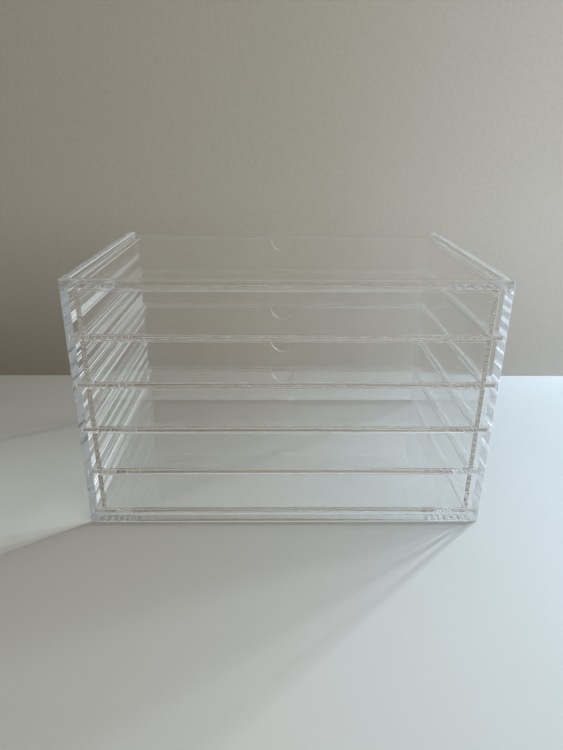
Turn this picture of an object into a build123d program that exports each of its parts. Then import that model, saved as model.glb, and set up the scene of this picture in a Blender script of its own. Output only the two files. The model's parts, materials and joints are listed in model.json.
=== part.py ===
from build123d import *
import os

# Clear acrylic drawer box: a case of cemented sheets, open at its near and far ends,
# with a stack of drawers whose floors slide in grooves cut along the side panels.
# Millimetres. The origin is on the table under the middle of the box, X runs to the
# right, Y from the near end to the far end, and Z up.

# Whole box
WIDTH = 300.0  # over both side panels
DEPTH = 200.0  # near end to far end, the same for case and drawers
DRAWER_COUNT = 5

# Case sheets
WEB = 2.5  # acrylic left behind each groove
GROOVE_DEPTH = 3.5
BASE_SHEET = 6.0  # bottom panel
BASE_GAP = 2.0  # air between the bottom panel and the lowest drawer
TOP_SHEET = 3.0  # top plate, cemented in the highest pair of grooves
LIP = 3.0  # height of the side panels and the rail above the top plate
RAIL_DEPTH = 6.0  # front rail, near face to far face

# Drawer sheets
FLOOR_SHEET = 3.0
WALL_SHEET = 3.0
WALL_HEIGHT = 30.6  # above the drawer floor
HEAD_GAP = 1.6  # from the top of a wall to the sheet above it
SIDE_GAP = 3.0  # from a side panel to the wall beside it
END_SETBACK = 0.8  # from the near and far edges of a floor to its walls

# Running clearances of a floor in its grooves
SLIDE_GAP = 0.3  # above the floor, and below it
EDGE_GAP = 0.5  # beside the floor

# Finger notch in the far wall of each drawer
NOTCH_RADIUS = 12.0
NOTCH_LIP = 1.5  # rounding where the notch meets the top of the wall

ARRIS = 0.3  # polished bevel along the open edges

# Sizes that follow from those above
SIDE_SHEET = WEB + GROOVE_DEPTH
PITCH = FLOOR_SHEET + WALL_HEIGHT + HEAD_GAP
LOWEST_FLOOR = BASE_SHEET + BASE_GAP
TOP_LEVEL = LOWEST_FLOOR + DRAWER_COUNT * PITCH
RAIL_HEIGHT = TOP_SHEET + LIP
HEIGHT = TOP_LEVEL + RAIL_HEIGHT
NEAR_END = -DEPTH / 2
FAR_END = DEPTH / 2
CLEAR_WIDTH = WIDTH - 2 * SIDE_SHEET
TOP_PLATE_WIDTH = CLEAR_WIDTH + 2 * GROOVE_DEPTH
FLOOR_WIDTH = TOP_PLATE_WIDTH - 2 * EDGE_GAP
BOX_WIDTH = CLEAR_WIDTH - 2 * SIDE_GAP
BOX_DEPTH = DEPTH - 2 * END_SETBACK
CROSS_WALL_LENGTH = BOX_WIDTH - 2 * WALL_SHEET
GROOVE_HEIGHT = FLOOR_SHEET + 2 * SLIDE_GAP

os.makedirs("parts", exist_ok=True)


def save(piece, name):
    """Label a finished piece and write it to its own file."""
    piece.part.label = name
    export_step(piece.part, f"parts/{name}.step")


def upright(y):
    """The plane at depth y that faces the near end, with X across and Z up."""
    return Plane.XZ.offset(-y)


def floor_level(number):
    """Underside of a drawer's floor, where drawer 1 is the highest."""
    return LOWEST_FLOOR + (DRAWER_COUNT - number) * PITCH


# Side panels: the outline with its grooves is extruded from end to end, and the near
# top corner is cut away to seat the front rail.
for side, sign in (("left", -1), ("right", 1)):
    panel_middle = sign * (WIDTH - SIDE_SHEET) / 2
    groove_middle = sign * (CLEAR_WIDTH + GROOVE_DEPTH) / 2
    with BuildPart() as side_panel:
        with BuildSketch(upright(FAR_END)):
            with Locations((panel_middle, HEIGHT / 2)):
                Rectangle(SIDE_SHEET, HEIGHT)
            floor_middles = [
                (groove_middle, floor_level(number) + FLOOR_SHEET / 2)
                for number in range(1, DRAWER_COUNT + 1)
            ]
            with Locations(*floor_middles):
                Rectangle(GROOVE_DEPTH, GROOVE_HEIGHT, mode=Mode.SUBTRACT)
            with Locations((groove_middle, TOP_LEVEL + TOP_SHEET / 2)):
                Rectangle(GROOVE_DEPTH, TOP_SHEET, mode=Mode.SUBTRACT)
        extrude(amount=DEPTH)
        with BuildSketch(upright(NEAR_END + RAIL_DEPTH)):
            with Locations((panel_middle, TOP_LEVEL + RAIL_HEIGHT / 2)):
                Rectangle(SIDE_SHEET, RAIL_HEIGHT)
        extrude(amount=RAIL_DEPTH, mode=Mode.SUBTRACT)
        outer_face = side_panel.faces().sort_by(Axis.X)[0 if sign < 0 else -1]
        outer_ends = outer_face.edges().filter_by(Axis.Z).sort_by(Axis.Y)
        top_edges = side_panel.faces().sort_by(Axis.Z)[-1].edges().filter_by(Axis.Y)
        chamfer([outer_ends[0], outer_ends[-1], *top_edges], length=ARRIS)
    save(side_panel, f"case_{side}_panel")

# Bottom panel, cemented between the side panels
with BuildPart() as bottom_panel:
    with BuildSketch(Plane.XY):
        Rectangle(CLEAR_WIDTH, DEPTH)
    extrude(amount=BASE_SHEET)
    chamfer(bottom_panel.edges().filter_by(Axis.X), length=ARRIS)
save(bottom_panel, "case_bottom_panel")

# Top plate, cemented in the highest pair of grooves, from the rail to the far end
with BuildPart() as top_plate:
    with BuildSketch(Plane.XY.offset(TOP_LEVEL)):
        with Locations((0, NEAR_END + RAIL_DEPTH)):
            Rectangle(TOP_PLATE_WIDTH, DEPTH - RAIL_DEPTH, align=(Align.CENTER, Align.MIN))
    extrude(amount=TOP_SHEET)
    far_face = top_plate.faces().sort_by(Axis.Y)[-1]
    chamfer(far_face.edges().filter_by(Axis.X), length=ARRIS)
save(top_plate, "case_top_plate")

# Front rail, over the near edge of the top plate and across both side panels
with BuildPart() as front_rail:
    with BuildSketch(upright(NEAR_END + RAIL_DEPTH)):
        with Locations((0, TOP_LEVEL)):
            Rectangle(WIDTH, RAIL_HEIGHT, align=(Align.CENTER, Align.MIN))
    extrude(amount=RAIL_DEPTH)
    near_edges = front_rail.faces().sort_by(Axis.Y)[0].edges()
    far_top_edge = front_rail.edges().filter_by(Axis.X).group_by(Axis.Z)[-1].sort_by(Axis.Y)[-1]
    chamfer([*near_edges, far_top_edge], length=ARRIS)
save(front_rail, "case_front_rail")

# Drawers, from the top down: a floor that slides in the grooves, and four walls on it
for number in range(1, DRAWER_COUNT + 1):
    drawer = f"drawer_{number}"
    wall_foot = floor_level(number) + FLOOR_SHEET

    with BuildPart() as floor:
        with BuildSketch(Plane.XY.offset(floor_level(number))):
            Rectangle(FLOOR_WIDTH, DEPTH)
        extrude(amount=FLOOR_SHEET)
        chamfer(floor.edges().filter_by(Axis.X), length=ARRIS)
    save(floor, f"{drawer}_floor")

    for side, sign in (("left", -1), ("right", 1)):
        with BuildPart() as side_wall:
            with BuildSketch(Plane.XY.offset(wall_foot)):
                with Locations((sign * (BOX_WIDTH - WALL_SHEET) / 2, 0)):
                    Rectangle(WALL_SHEET, BOX_DEPTH)
            extrude(amount=WALL_HEIGHT)
            outer_face = side_wall.faces().sort_by(Axis.X)[0 if sign < 0 else -1]
            outer_ends = outer_face.edges().filter_by(Axis.Z)
            top_edges = side_wall.faces().sort_by(Axis.Z)[-1].edges()
            chamfer([*outer_ends, *top_edges], length=ARRIS)
        save(side_wall, f"{drawer}_{side}_wall")

    with BuildPart() as near_wall:
        with BuildSketch(Plane.XY.offset(wall_foot)):
            with Locations((0, -(BOX_DEPTH - WALL_SHEET) / 2)):
                Rectangle(CROSS_WALL_LENGTH, WALL_SHEET)
        extrude(amount=WALL_HEIGHT)
        top_edges = near_wall.faces().sort_by(Axis.Z)[-1].edges().filter_by(Axis.X)
        chamfer(top_edges, length=ARRIS)
    save(near_wall, f"{drawer}_near_wall")

    # The far wall is cut from its outline, with the finger notch and its rounded lips
    with BuildPart() as far_wall:
        with BuildSketch(upright(BOX_DEPTH / 2)) as outline:
            with Locations((0, wall_foot)):
                Rectangle(CROSS_WALL_LENGTH, WALL_HEIGHT, align=(Align.CENTER, Align.MIN))
            with Locations((0, wall_foot + WALL_HEIGHT)):
                Circle(NOTCH_RADIUS, mode=Mode.SUBTRACT)
            notch_corners = outline.vertices().group_by(Axis.Y)[-1].sort_by(Axis.X)[1:-1]
            fillet(notch_corners, radius=NOTCH_LIP)
        extrude(amount=WALL_SHEET)
        for broad_face in (far_wall.faces().sort_by(Axis.Y)[0], far_wall.faces().sort_by(Axis.Y)[-1]):
            rim = broad_face.edges().filter_by(Axis.Z, reverse=True).sort_by(Axis.Z)[1:]
            chamfer(rim, length=ARRIS)
    save(far_wall, f"{drawer}_far_wall")
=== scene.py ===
# Looks of a clear acrylic drawer box, dressed on its own sheets. The case and each drawer are
# cemented from flat cast sheet. Every sheet keeps its own solid, and gets a clear finish with
# polished edges that knows where it is cemented to its neighbours.

import json
import logging
import math
from dataclasses import dataclass, field
from enum import Enum
from itertools import combinations
from typing import Iterable, Sequence

import bpy
from mathutils import Matrix, Vector


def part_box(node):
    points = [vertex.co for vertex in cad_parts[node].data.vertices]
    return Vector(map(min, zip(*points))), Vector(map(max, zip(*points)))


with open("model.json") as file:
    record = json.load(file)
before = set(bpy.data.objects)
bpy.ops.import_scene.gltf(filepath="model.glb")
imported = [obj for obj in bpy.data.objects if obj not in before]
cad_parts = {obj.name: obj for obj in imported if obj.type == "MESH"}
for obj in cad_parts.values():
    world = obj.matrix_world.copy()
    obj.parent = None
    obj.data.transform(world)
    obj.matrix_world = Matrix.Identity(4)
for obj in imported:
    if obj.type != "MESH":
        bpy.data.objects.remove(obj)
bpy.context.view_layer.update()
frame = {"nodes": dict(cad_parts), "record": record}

log = logging.getLogger("drawer_box")
MM = 0.001
SQUARE = 0.9  # part of a normal along an axis from which a face counts as square to it
SLANTED = 0.5  # part along a sheet's thin axis below which a face belongs to its edges
NOISE_SPAN = (0.3, 0.7)  # range that nearly all of the soft noise lies in
CLEAR = (1.0, 1.0, 1.0, 1.0)
BLACK = (0.0, 0.0, 0.0, 1.0)
MIX_A, MIX_B, MIX_RESULT = 6, 7, 2  # a Mix node's colour sockets, whose names are not unique
Triple = tuple[float, float, float]
Colour = Triple
Socket = bpy.types.NodeSocket


class Axis(Enum):
    """An axis of the row frame."""

    X = 0
    Y = 1
    Z = 2


class Cut(Enum):
    """Faces of a sheet that are left as the cutter made them."""

    NONE = "polished all round"
    GROOVES = "milled grooves on the inner face"
    LONG_EDGES = "sawn edges that run in the grooves"
    NOTCH = "finger notch in the top edge"


@dataclass(frozen=True)
class Region:
    """A box in the row frame, in metres."""

    low: Vector
    high: Vector

    @property
    def size(self) -> Vector:
        """Edge lengths of the region."""
        return self.high - self.low

    @property
    def middle(self) -> Vector:
        """Middle of the region."""
        return (self.low + self.high) / 2

    @property
    def thin_axis(self) -> Axis:
        """The axis along which the region is shortest."""
        return min(Axis, key=lambda axis: self.size[axis.value])

    def shared_with(self, other: "Region") -> "Region":
        """The region that both cover. A size is negative where they are apart.

        Args:
            other: The region to compare with.

        Returns:
            Their intersection.
        """
        low = Vector(map(max, self.low, other.low))
        high = Vector(map(min, self.high, other.high))
        return Region(low, high)

    def slab(self, axis: int, level: float) -> "Region":
        """The slice of this region at one level, with no thickness.

        Args:
            axis: Index of the axis that the slice is square to.
            level: Its place on that axis.

        Returns:
            A flat region.
        """
        low, high = self.low.copy(), self.high.copy()
        low[axis] = high[axis] = level
        return Region(low, high)


@dataclass(frozen=True)
class Sheet:
    """One sheet of the box, as its finish needs to know it."""

    name: str
    region: Region
    seams: tuple[Region, ...]

    @property
    def cut(self) -> Cut:
        """Which of its faces are left as cut."""
        if self.name in ("case_left_panel", "case_right_panel"):
            return Cut.GROOVES
        if self.name.endswith("_far_wall"):
            return Cut.NOTCH
        return Cut.LONG_EDGES if self.name.endswith("_floor") else Cut.NONE

    @property
    def marked(self) -> bool:
        """Whether the drawers have marked its inner face."""
        return self.cut is Cut.GROOVES and self.region.middle.x < 0

    @property
    def thin(self) -> int:
        """Index of the axis that it is thin along."""
        return self.region.thin_axis.value


class ShaderTree:
    """A node tree with short calls for the nodes that the finishes use."""

    def __init__(self, owner: bpy.types.Material | bpy.types.World) -> None:
        """Start an empty tree.

        Args:
            owner: The material or world that it shades.
        """
        self.owner = owner
        owner.use_nodes = True
        self.tree = owner.node_tree
        self.tree.nodes.clear()
        kind = "World" if isinstance(owner, bpy.types.World) else "Material"
        self.output = self.node(f"ShaderNodeOutput{kind}")

    def node(self, kind: str, **settings: object) -> bpy.types.Node:
        """Add a node.

        Args:
            kind: Its type name.
            **settings: Properties to set on it.

        Returns:
            The new node.
        """
        made = self.tree.nodes.new(kind)
        for key, value in settings.items():
            setattr(made, key, value)
        return made

    def feed(self, socket: Socket, value: object) -> None:
        """Link a socket, or set its value.

        Args:
            socket: The input to feed.
            value: An output socket, or a plain value.
        """
        if isinstance(value, Socket):
            self.tree.links.new(value, socket)
        else:
            socket.default_value = value

    def math(self, operation: str, *values: object) -> Socket:
        """A Math node.

        Args:
            operation: What it does.
            *values: Its inputs, as sockets or numbers.

        Returns:
            Its output.
        """
        made = self.node("ShaderNodeMath", operation=operation)
        for socket, value in zip(made.inputs, values):
            self.feed(socket, value)
        return made.outputs[0]

    def vector(self, operation: str, *values: object) -> Socket:
        """A Vector Math node.

        Args:
            operation: What it does.
            *values: Its inputs, as sockets or vectors.

        Returns:
            Its vector output.
        """
        made = self.node("ShaderNodeVectorMath", operation=operation)
        for socket, value in zip(made.inputs, values):
            self.feed(socket, value)
        return made.outputs[0]

    def parts(self, vector: Socket) -> tuple[Socket, ...]:
        """The X, Y and Z of a vector."""
        made = self.node("ShaderNodeSeparateXYZ")
        self.feed(made.inputs[0], vector)
        return tuple(made.outputs)

    def blend(self, share: object, first: object, second: object) -> Socket:
        """A colour between two others.

        Args:
            share: How much of the second, from 0 to 1.
            first: The colour at 0.
            second: The colour at 1.

        Returns:
            The mixed colour.
        """
        made = self.node("ShaderNodeMix", data_type="RGBA")
        self.feed(made.inputs[0], share)
        self.feed(made.inputs[MIX_A], first)
        self.feed(made.inputs[MIX_B], second)
        return made.outputs[MIX_RESULT]

    def ramp(self, value: object, start: float, end: float, low: float, high: object) -> Socket:
        """A value carried from one range to another and held at its ends.

        Args:
            value: The input.
            start: Input at which the output is low.
            end: Input at which the output is high.
            low: The first output.
            high: The last output, as a socket or a number.

        Returns:
            The mapped value.
        """
        made = self.node("ShaderNodeMapRange", interpolation_type="SMOOTHSTEP")
        for socket, given in zip(made.inputs, (value, start, end, low, high)):
            self.feed(socket, given)
        return made.outputs[0]

    def noise(self, place: Socket, scale: Triple, detail: float = 2.0) -> Socket:
        """Soft noise over the object, stretched by a scale for each axis.

        Args:
            place: Object coordinates, in metres.
            scale: Bumps per metre along X, Y and Z.
            detail: Finer layers in the noise.

        Returns:
            The noise, from 0 to 1.
        """
        mapping = self.node("ShaderNodeMapping")
        self.feed(mapping.inputs["Vector"], place)
        mapping.inputs["Scale"].default_value = scale
        made = self.node("ShaderNodeTexNoise")
        self.feed(made.inputs["Vector"], mapping.outputs[0])
        made.inputs["Scale"].default_value = 1.0
        made.inputs["Detail"].default_value = detail
        return made.outputs[0]


@dataclass(frozen=True)
class AcrylicFinish:
    """Clear cast acrylic: polished faces and edges, hazy cuts and clear cemented seams.

    A seam's cement holds fine bubbles where two sheets meet side by side. Bevels are scraped,
    not polished, and the drawers have left fine marks along the left side panel. A shadow gets
    a share of the light at each face that it falls through. The shares stand in for the sheets'
    inner reflections, which gather light under the box and keep it from the table before it.
    """

    name: str
    tint: Colour
    ior: float = 1.49
    # Cuts: the grooves in the side panels, the floors' sawn long edges and the finger notches
    groove_depth: float = 3.6 * MM
    groove_roughness: float = 0.4
    groove_frost: float = 0.4
    sawn_roughness: float = 0.06
    ridge_scale: Triple = (900.0, 12.0, 2600.0)
    ridge_height: float = 0.05 * MM
    notch_reach: float = 14.5 * MM
    notch_frost: float = 0.25
    bevel_frost: float = 0.75
    # Slide marks along the left side panel, from its foot to its top
    mark_scale: Triple = (1.0, 1.5, 800.0)
    mark_cluster_scale: Triple = (1.0, 1.5, 110.0)
    mark_levels: tuple[float, float] = (0.24, 0.36)
    mark_frost: tuple[float, float] = (1.0, 0.5)
    # Ends of the side panels: a haze crossed by clear strokes, under a painted bluish glow of the window
    # light
    end_painted_glow: Colour = (0.86, 0.93, 1.0)
    end_frost: float = 0.55
    stroke_slant: float = 0.85
    stroke_scale: float = 170.0
    stroke_levels: tuple[float, float] = (0.34, 0.43)
    # Shadows: the share passed by each face that is square to X, Y or Z
    passed_by_near_wall: float = 0.69
    passed_by_faces: Triple = (1.045, 1.04, 1.0)
    passed_by_edges: Colour = (0.1, 0.11, 0.12)
    grazing_loss: float = 0.3
    grazing_power: float = 5.0
    # Cemented seams
    seam_reach: float = 0.02 * MM
    bubble_scale: Triple = (900.0, 900.0, 900.0)
    bubble_level: float = 0.66
    bubbly_height: float = 4.0 * MM

    def seam_mask(self, shade: ShaderTree, place: Socket, seams: Iterable[Region]) -> object:
        """Where the surface is cemented to a neighbour, apart from fine bubbles in the cement.

        Args:
            shade: The tree to build in.
            place: Object coordinates.
            seams: Flat regions where two sheets meet.

        Returns:
            A socket that is 1 on a seam.
        """
        mask: object = 0.0
        for seam in seams:
            half = seam.size / 2 + Vector((self.seam_reach,) * 3)
            off = shade.vector("SUBTRACT", place, seam.middle)
            over = shade.vector("SUBTRACT", shade.vector("ABSOLUTE", off), half)
            x, y, z = shade.parts(over)
            outside = shade.math("MAXIMUM", shade.math("MAXIMUM", x, y), z)
            wet = shade.math("LESS_THAN", outside, 0.0)
            if seam.thin_axis is Axis.X and seam.size.z > self.bubbly_height:
                bubbles = shade.noise(place, self.bubble_scale)
                wet = shade.math("MULTIPLY", wet, shade.math("LESS_THAN", bubbles, self.bubble_level))
            mask = shade.math("MAXIMUM", mask, wet)
        return mask

    def cut_mask(self, shade: ShaderTree, place: Socket, edge: Socket, sheet: Sheet) -> object:
        """Where the cutter's surface shows.

        Args:
            shade: The tree to build in.
            place: Object coordinates.
            edge: A socket that is 1 on the sheet's edges.
            sheet: The sheet to finish.

        Returns:
            A socket that is 1 on the faces that are left as cut, or the number 0 with none.
        """
        if sheet.cut is Cut.NONE:
            return 0.0
        x, y, _ = shade.parts(shade.vector("ABSOLUTE", place))
        if sheet.cut is Cut.NOTCH:
            return shade.math("MULTIPLY", edge, shade.math("LESS_THAN", x, self.notch_reach))
        region = sheet.region
        inner, outer = sorted((abs(region.low.x), abs(region.high.x)))
        if sheet.cut is Cut.LONG_EDGES:
            return shade.math("GREATER_THAN", x, outer - self.seam_reach)
        beyond = shade.math("GREATER_THAN", x, inner + self.seam_reach)
        within = shade.math("LESS_THAN", x, inner + self.groove_depth)
        length = shade.math("LESS_THAN", y, region.high.y - self.seam_reach)
        return shade.math("MULTIPLY", shade.math("MULTIPLY", beyond, within), length)

    def frost(
        self, shade: ShaderTree, place: Socket, turned: Sequence[Socket], sheet: Sheet, cut_here: object
    ) -> Socket:
        """How much of the light each spot scatters.

        Args:
            shade: The tree to build in.
            place: Object coordinates.
            turned: The surface normal's parts, without their signs.
            sheet: The sheet to finish.
            cut_here: A socket that is 1 on the faces that are left as cut.

        Returns:
            The share that is scattered, from 0 to 1.
        """
        x, y, z = turned
        flat = shade.math("MAXIMUM", shade.math("MAXIMUM", x, y), z)
        frost = shade.math("MULTIPLY", shade.math("LESS_THAN", flat, SQUARE), self.bevel_frost)
        if sheet.cut is Cut.NOTCH:
            frost = shade.math("MAXIMUM", frost, shade.math("MULTIPLY", cut_here, self.notch_frost))
        if sheet.cut is Cut.GROOVES:
            frost = shade.math("MAXIMUM", frost, shade.math("MULTIPLY", cut_here, self.groove_frost))
            end = shade.math("GREATER_THAN", y, SQUARE)
            frost = shade.math("MAXIMUM", frost, shade.math("MULTIPLY", end, self.strokes(shade, place)))
        if sheet.marked:
            frost = shade.math("MAXIMUM", frost, self.marks(shade, place, sheet.region))
        return frost

    def marks(self, shade: ShaderTree, place: Socket, region: Region) -> Socket:
        """The long marks that the drawers have left on a side panel's inner face.

        Args:
            shade: The tree to build in.
            place: Object coordinates.
            region: Where the panel lies.

        Returns:
            The share of the light that they scatter.
        """
        across, _, level = shade.parts(place)
        on_face = shade.math("GREATER_THAN", across, region.high.x - self.seam_reach)
        most = shade.ramp(level, region.low.z, region.high.z, *self.mark_frost)
        fine = shade.noise(place, self.mark_scale)
        clusters = shade.noise(place, self.mark_cluster_scale)
        marks = shade.ramp(shade.math("MULTIPLY", fine, clusters), *self.mark_levels, 0.0, most)
        return shade.math("MULTIPLY", on_face, marks)

    def strokes(self, shade: ShaderTree, place: Socket) -> Socket:
        """The haze on a side panel's ends, crossed by thin clear strokes that rise inwards.

        Args:
            shade: The tree to build in.
            place: Object coordinates.

        Returns:
            The share of the light that is scattered.
        """
        across, _, level = shade.parts(place)
        slant = shade.math("MULTIPLY", shade.math("ABSOLUTE", across), self.stroke_slant)
        grain = shade.node("ShaderNodeTexNoise", noise_dimensions="1D")
        shade.feed(grain.inputs["W"], shade.math("ADD", level, slant))
        grain.inputs["Scale"].default_value = self.stroke_scale
        return shade.ramp(grain.outputs[0], *self.stroke_levels, 0.0, self.end_frost)

    def ridges(self, shade: ShaderTree, place: Socket, cut_here: object) -> Socket:
        """The fine ridges that the cutter leaves.

        Args:
            shade: The tree to build in.
            place: Object coordinates.
            cut_here: A socket that is 1 on the faces that are left as cut.

        Returns:
            The bumped normal.
        """
        bump = shade.node("ShaderNodeBump")
        bump.inputs["Distance"].default_value = self.ridge_height
        shade.feed(bump.inputs["Strength"], cut_here)
        shade.feed(bump.inputs["Height"], shade.noise(place, self.ridge_scale))
        return bump.outputs[0]

    def shadow_share(self, shade: ShaderTree, sheet: Sheet, edge: Socket, cut_here: object) -> Socket:
        """The share of the light that a shadow gets through each spot.

        Args:
            shade: The tree to build in.
            sheet: The sheet to finish.
            edge: A socket that is 1 on the sheet's edges.
            cut_here: A socket that is 1 on the faces that are left as cut.

        Returns:
            The share, as a colour.
        """
        facing = shade.node("ShaderNodeLayerWeight").outputs["Facing"]
        loss = 0.0 if sheet.region.thin_axis is Axis.Z else self.grazing_loss
        grazing = shade.math("MULTIPLY", shade.math("POWER", facing, self.grazing_power), loss)
        passed = self.passed_by_faces[sheet.thin]
        if sheet.name.endswith("near_wall"):
            passed = self.passed_by_near_wall
        face_share = shade.blend(grazing, (passed, passed, passed, 1.0), BLACK)
        dark_edge = shade.math("MULTIPLY", edge, shade.math("SUBTRACT", 1.0, cut_here))
        return shade.blend(dark_edge, face_share, (*self.passed_by_edges, 1.0))

    def material(self, sheet: Sheet) -> bpy.types.Material:
        """The finish for one sheet.

        Args:
            sheet: The sheet to finish.

        Returns:
            The sheet's own material.
        """
        shade = ShaderTree(bpy.data.materials.new(f"{self.name}_{sheet.name}"))
        place = shade.node("ShaderNodeTexCoord").outputs["Object"]
        normal = shade.node("ShaderNodeNewGeometry").outputs["Normal"]
        turned = shade.parts(shade.vector("ABSOLUTE", normal))
        edge = shade.math("LESS_THAN", turned[sheet.thin], SLANTED)
        cut_here = self.cut_mask(shade, place, edge, sheet)

        glass = shade.node("ShaderNodeBsdfPrincipled")
        tint: object = (*self.tint, 1.0)
        # Painted glow: the side panels' ends are tinted blue for the window light that they carry
        if sheet.cut is Cut.GROOVES:
            end = shade.math("GREATER_THAN", turned[Axis.Y.value], SQUARE)
            tint = shade.blend(end, tint, (*self.end_painted_glow, 1.0))
        shade.feed(glass.inputs["Base Color"], tint)
        glass.inputs["IOR"].default_value = self.ior
        frost = self.frost(shade, place, turned, sheet, cut_here)
        shade.feed(glass.inputs["Transmission Weight"], shade.math("SUBTRACT", 1.0, frost))
        roughness = self.groove_roughness if sheet.cut is Cut.GROOVES else self.sawn_roughness
        shade.feed(glass.inputs["Roughness"], shade.math("MULTIPLY", cut_here, roughness))
        if sheet.cut in (Cut.GROOVES, Cut.LONG_EDGES):
            shade.feed(glass.inputs["Normal"], self.ridges(shade, place, cut_here))

        seam = self.seam_mask(shade, place, sheet.seams)
        light_path = shade.node("ShaderNodeLightPath").outputs
        shadow = light_path["Is Shadow Ray"]
        unbent = shade.math("MAXIMUM", shadow, light_path["Is Diffuse Ray"])
        in_shadow = shade.math("MULTIPLY", shadow, shade.math("SUBTRACT", 1.0, seam))
        share = self.shadow_share(shade, sheet, edge, cut_here)
        clear = shade.node("ShaderNodeBsdfTransparent")
        shade.feed(clear.inputs[0], shade.blend(in_shadow, CLEAR, share))
        mix = shade.node("ShaderNodeMixShader")
        shade.feed(mix.inputs[0], shade.math("MAXIMUM", unbent, seam))
        shade.feed(mix.inputs[1], glass.outputs[0])
        shade.feed(mix.inputs[2], clear.outputs[0])
        shade.feed(shade.output.inputs["Surface"], mix.outputs[0])
        return shade.owner


@dataclass
class CementedBody:
    """A rigid body of sheets cemented to each other."""

    body: str
    finish: AcrylicFinish
    touch: float = 0.05 * MM
    regions: dict[str, Region] = field(default_factory=dict)

    def __post_init__(self) -> None:
        """Find where the body's sheets lie."""
        for node in frame["record"]["behaviour"]["bodies"][self.body]:
            self.regions[node] = Region(*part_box(node))

    def seams_between(self, first: Region, second: Region) -> list[Region]:
        """Where two sheets are cemented.

        Args:
            first: One sheet's region.
            second: The other's.

        Returns:
            Flat regions: one where the sheets meet face to face, and where one is let into
            the other, each wall of its seat.
        """
        shared = first.shared_with(second)
        if min(shared.size) < -self.touch:
            return []
        thin = shared.thin_axis.value
        if shared.size[thin] < self.touch:
            return [shared.slab(thin, shared.middle[thin])]
        seats = []
        for axis in range(3):
            for level in (shared.low[axis], shared.high[axis]):
                for host in (first, second):
                    if host.low[axis] + self.touch < level < host.high[axis] - self.touch:
                        seats.append(shared.slab(axis, level))
        return seats

    def dress(self) -> None:
        """Give each sheet its finish."""
        seams: dict[str, list[Region]] = {node: [] for node in self.regions}
        for first, second in combinations(self.regions, 2):
            found = self.seams_between(self.regions[first], self.regions[second])
            seams[first] += found
            seams[second] += found
        for node, region in self.regions.items():
            sheet = Sheet(node, region, tuple(seams[node]))
            material = self.finish.material(sheet)
            for slot in frame["nodes"][node].material_slots:
                slot.link = "DATA"
                slot.material = material
            log.info("%s: %s, %s, %d seams", node, self.finish.name, sheet.cut.value, len(sheet.seams))


@dataclass(frozen=True)
class Lamp:
    """A soft rectangular lamp that lights painted and frosted surfaces."""

    name: str
    place: Triple
    aim: Triple
    width: float
    height: float
    power: float
    colour: Colour

    def hang(self) -> None:
        """Put the lamp in the scene."""
        data = bpy.data.lights.new(self.name, "AREA")
        data.shape = "RECTANGLE"
        data.size, data.size_y = self.width, self.height
        data.energy = self.power
        data.color = self.colour
        lamp = bpy.data.objects.new(self.name, data)
        lamp.location = self.place
        lamp.rotation_mode = "QUATERNION"
        lamp.rotation_quaternion = (Vector(self.aim) - Vector(self.place)).to_track_quat("-Z", "Y")
        lamp.visible_camera = lamp.visible_glossy = lamp.visible_transmission = False
        bpy.context.scene.collection.objects.link(lamp)


@dataclass(frozen=True)
class Softbox:
    """A dim panel that only polished and clear surfaces show."""

    name: str
    place: Triple
    aim: Triple
    width: float
    height: float
    glow: float
    colour: Colour

    @property
    def corners(self) -> list[Vector]:
        """Its corners, anticlockwise from the side that faces its aim."""
        place = Vector(self.place)
        turn = (Vector(self.aim) - place).to_track_quat("-Z", "Y")
        x, y = self.width / 2, self.height / 2
        corners = ((-x, -y, 0), (-x, y, 0), (x, y, 0), (x, -y, 0))
        return [place + turn @ Vector(corner) for corner in corners]


@dataclass(frozen=True)
class PaintAndLight:
    """A pale paint over a wall or floor, with painted light and shade: lighter to the right, where the
    window light falls, and painted shade towards its foot or far side.
    """

    # Painted light: the full colours at the left and at the right, lighter to the right where the window
    # light falls
    left: Colour
    right: Colour
    # Painted shade: the colours where the shade is deepest, at the left and at the right
    left_painted_shade: Colour
    right_painted_shade: Colour
    # Spans from left to right along X, and from painted shade to the full colour along the shade axis
    across: tuple[float, float]
    painted_shade_axis: Axis
    fade: tuple[float, float]
    roughness: float
    grain: float = 0.0
    grain_scale: Triple = (260.0, 260.0, 260.0)
    mottle: float = 0.02
    mottle_scale: Triple = (3.0, 3.0, 3.0)
    one_sided: bool = False


# Floor paint with painted light and shade: cooler and brighter to the right, where the window light falls,
# and painted shade at the far side by the wall, most to the left
FLOOR_PAINT_AND_LIGHT = PaintAndLight(
    left=(0.895, 0.875, 0.815),
    right=(0.86, 0.92, 0.95),
    left_painted_shade=(0.55, 0.52, 0.45),
    right_painted_shade=(0.62, 0.665, 0.69),
    across=(-0.1, 0.24),
    painted_shade_axis=Axis.Y,
    fade=(0.16, -0.28),
    roughness=0.45,
)
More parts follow.
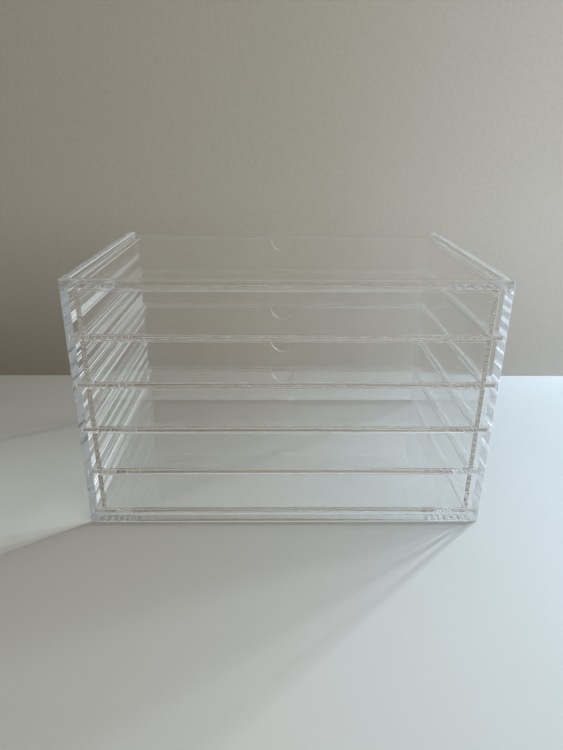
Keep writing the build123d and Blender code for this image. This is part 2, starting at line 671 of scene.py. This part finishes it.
# Wall paint with painted light and shade: brighter to the right, where the window light falls, and painted
# shade towards its foot, most to the left
WALL_PAINT_AND_LIGHT = PaintAndLight(
    left=(0.705, 0.668, 0.586),
    right=(0.85, 0.82, 0.775),
    left_painted_shade=(0.465, 0.405, 0.35),
    right_painted_shade=(0.617, 0.585, 0.555),
    across=(-0.05, 0.36),
    painted_shade_axis=Axis.Z,
    fade=(-0.02, 0.22),
    roughness=0.8,
    grain=0.05,
    one_sided=True,
)
WINDOW_COLOUR = (0.78, 0.9, 1.0)
NEAR_CORNER = (0.145, -0.103, 0.10)
LAMPS = (
    Lamp("pane_1", (0.984, 0.692, 0.50), NEAR_CORNER, 0.07, 0.75, 11.0, WINDOW_COLOUR),
    Lamp("pane_2", (1.086, 0.568, 0.50), NEAR_CORNER, 0.07, 0.75, 8.0, WINDOW_COLOUR),
    Lamp("pane_3", (1.216, 0.331, 0.50), NEAR_CORNER, 0.12, 0.75, 7.0, WINDOW_COLOUR),
    Lamp("side_fill", (1.30, -1.20, 0.45), (0.10, 0.196, 0.25), 0.90, 0.80, 9.2, (1.0, 0.98, 0.94)),
    Lamp("front_fill", (0.55, -1.10, 1.10), (0.0, 0.0, 0.10), 0.90, 0.60, 3.2, (1.0, 0.93, 0.82)),
)
SOFTBOXES = (
    Softbox("window", (1.10, 0.42, 0.50), NEAR_CORNER, 0.90, 0.80, 2.4, (0.75, 0.88, 1.0)),
    Softbox("side", (0.95, -0.25, 0.80), (0.10, 0.196, 0.25), 0.90, 0.80, 1.5, (1.0, 0.98, 0.94)),
    Softbox("ceiling", (0.0, 0.0, 1.60), (0.0, 0.0, 0.0), 2.4, 2.4, 0.8, (1.0, 1.0, 1.0)),
)


@dataclass(frozen=True)
class Viewpoint:
    """Where the photograph was taken from, its place in millimetres and its angles in degrees."""

    place: Triple = (-8.1, -475.9, 278.4)
    pitch: float = -22.45
    roll: float = -0.35
    yaw: float = -0.69
    focal_px: float = 582.9
    long_side_px: float = 750.0
    sensor_mm: float = 36.0
    clip: tuple[float, float] = (0.01, 50.0)

    @property
    def matrix(self) -> Matrix:
        """The camera's place and turn."""
        pitch, roll, yaw = (math.radians(a) for a in (self.pitch, self.roll, self.yaw))
        turn = Matrix.Rotation(yaw, 3, "Z") @ Matrix.Rotation(pitch, 3, "X") @ Matrix.Rotation(roll, 3, "Y")
        right, ahead, up = (turn @ Vector(axis) for axis in ((1, 0, 0), (0, 1, 0), (0, 0, 1)))
        basis = Matrix((right, up, -ahead)).transposed()
        return Matrix.Translation(Vector(self.place) * MM) @ basis.to_4x4()

    def take(self) -> None:
        """Put the camera in the scene and look through it."""
        data = bpy.data.cameras.new("camera")
        data.sensor_fit = "AUTO"
        data.sensor_width = self.sensor_mm
        data.lens = self.sensor_mm * self.focal_px / self.long_side_px
        data.clip_start, data.clip_end = self.clip
        camera = bpy.data.objects.new("camera", data)
        camera.matrix_world = self.matrix
        bpy.context.scene.collection.objects.link(camera)
        bpy.context.scene.camera = camera


@dataclass
class Stage:
    """Floor, wall and lights.

    The floor lies a hair under the box, so that the two never share a plane. Past the wall's
    ends the camera sees a pale far room, while the box is lit by dim surroundings.
    """

    floor_half: float = 1.0
    floor_near: float = -0.85
    wall_left: float = -3.0
    wall_y: float = 0.196
    wall_right: float = 0.44
    wall_height: float = 2.0
    drop: float = 0.1 * MM
    lamps: tuple[Lamp, ...] = LAMPS
    softboxes: tuple[Softbox, ...] = SOFTBOXES
    surroundings: Colour = (0.04, 0.037, 0.033)
    far_room: Colour = (0.30, 0.29, 0.275)

    def painted(self, name: str, paint: PaintAndLight) -> bpy.types.Material:
        """A plain painted surface, with painted shade to the left and towards its foot or far side.

        Args:
            name: The material's name.
            paint: Its colour, with its painted light and shade.

        Returns:
            The material.
        """
        shade = ShaderTree(bpy.data.materials.new(name))
        place = shade.node("ShaderNodeTexCoord").outputs["Object"]
        along = shade.parts(place)
        mottle = shade.noise(place, paint.mottle_scale)
        tone = shade.ramp(mottle, *NOISE_SPAN, 1.0 - paint.mottle, 1.0)
        if paint.grain:
            grain = shade.noise(place, paint.grain_scale)
            tone = shade.math("MULTIPLY", tone, shade.ramp(grain, *NOISE_SPAN, 1.0 - paint.grain, 1.0))
        # Painted light and shade: the colour blends from left to right, and from painted shade to the full
        # colour along the shade axis
        right = shade.ramp(along[0], *paint.across, 0.0, 1.0)
        light = shade.ramp(along[paint.painted_shade_axis.value], *paint.fade, 0.0, 1.0)
        painted_shade = shade.blend(right, (*paint.left_painted_shade, 1.0), (*paint.right_painted_shade, 1.0))
        full = shade.blend(right, (*paint.left, 1.0), (*paint.right, 1.0))
        bsdf = shade.node("ShaderNodeBsdfPrincipled")
        colour = shade.vector("SCALE", shade.blend(light, painted_shade, full))
        shade.feed(colour.node.inputs["Scale"], tone)
        shade.feed(bsdf.inputs["Base Color"], colour)
        bsdf.inputs["Roughness"].default_value = paint.roughness
        surface = bsdf.outputs[0]
        if paint.one_sided:
            mix = shade.node("ShaderNodeMixShader")
            shade.feed(mix.inputs[0], shade.node("ShaderNodeNewGeometry").outputs["Backfacing"])
            shade.feed(mix.inputs[1], surface)
            shade.feed(mix.inputs[2], shade.node("ShaderNodeBsdfTransparent").outputs[0])
            surface = mix.outputs[0]
        shade.feed(shade.output.inputs["Surface"], surface)
        return shade.owner

    def flat(
        self, name: str, corners: Iterable[Triple | Vector], material: bpy.types.Material
    ) -> bpy.types.Object:
        """A flat stage piece.

        Args:
            name: The object's name.
            corners: Its corners, anticlockwise from the side that shows.
            material: Its material.

        Returns:
            The stage object.
        """
        mesh = bpy.data.meshes.new(name)
        points = [Vector(corner) for corner in corners]
        mesh.from_pydata(points, [], [tuple(range(len(points)))])
        mesh.materials.append(material)
        piece = bpy.data.objects.new(name, mesh)
        bpy.context.scene.collection.objects.link(piece)
        return piece

    def build_room(self) -> None:
        """Make the floor and the wall behind the box."""
        r, near, z = self.floor_half, self.floor_near, -self.drop
        floor = self.painted("floor_paint_and_light", FLOOR_PAINT_AND_LIGHT)
        self.flat("floor", [(-r, near, z), (r, near, z), (r, r, z), (-r, r, z)], floor)
        wall = self.painted("wall_paint_and_light", WALL_PAINT_AND_LIGHT)
        left, right, y, h = self.wall_left, self.wall_right, self.wall_y, self.wall_height
        backdrop = self.flat("wall", [(left, y, z), (right, y, z), (right, y, h), (left, y, h)], wall)
        backdrop.visible_shadow = False

    def glow(self, softbox: Softbox) -> None:
        """Hang a softbox, which lights nothing and only shows in reflections and through edges.

        Args:
            softbox: The one to hang.
        """
        shade = ShaderTree(bpy.data.materials.new(f"{softbox.name}_glow"))
        light = shade.node("ShaderNodeEmission")
        light.inputs["Color"].default_value = (*softbox.colour, 1.0)
        light.inputs["Strength"].default_value = softbox.glow
        shade.feed(shade.output.inputs["Surface"], light.outputs[0])
        shade.owner.cycles.emission_sampling = "NONE"
        panel = self.flat(softbox.name, softbox.corners, shade.owner)
        panel.visible_camera = panel.visible_diffuse = panel.visible_shadow = False

    def light(self) -> None:
        """Hang the lamps and softboxes, and set the soft surroundings."""
        for lamp in self.lamps:
            lamp.hang()
        for softbox in self.softboxes:
            self.glow(softbox)
        world = bpy.data.worlds.new("surroundings")
        bpy.context.scene.world = world
        world.cycles.sampling_method = "NONE"
        shade = ShaderTree(world)
        light_path = shade.node("ShaderNodeLightPath").outputs
        seen = shade.math("MAXIMUM", light_path["Is Camera Ray"], light_path["Is Transmission Ray"])
        sky = shade.blend(seen, (*self.surroundings, 1.0), (*self.far_room, 1.0))
        background = shade.node("ShaderNodeBackground")
        shade.feed(background.inputs["Color"], sky)
        shade.feed(shade.output.inputs["Surface"], background.outputs[0])


def let_light_run(bounces: int = 64) -> None:
    """Allow the many inner reflections that carry light from edge to edge of a sheet.

    Args:
        bounces: How many a ray may make.
    """
    cycles = bpy.context.scene.cycles
    cycles.max_bounces = bounces
    cycles.glossy_bounces = bounces
    cycles.transmission_bounces = bounces
    cycles.transparent_max_bounces = bounces


def main() -> None:
    """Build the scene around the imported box."""
    logging.basicConfig(level=logging.INFO, format="%(name)s %(message)s")
    bpy.context.scene.view_settings.view_transform = "Standard"
    let_light_run()
    stage = Stage()
    stage.build_room()
    stage.light()
    Viewpoint().take()
    case_finish = AcrylicFinish("case_acrylic", (0.998, 1.0, 1.0))
    drawer_finish = AcrylicFinish("drawer_acrylic", (0.998, 1.0, 0.999))
    CementedBody("case", case_finish).dress()
    for body in frame["record"]["behaviour"]["bodies"]:
        if body != "case":
            CementedBody(body, drawer_finish).dress()


if __name__ == "__main__":
    main()
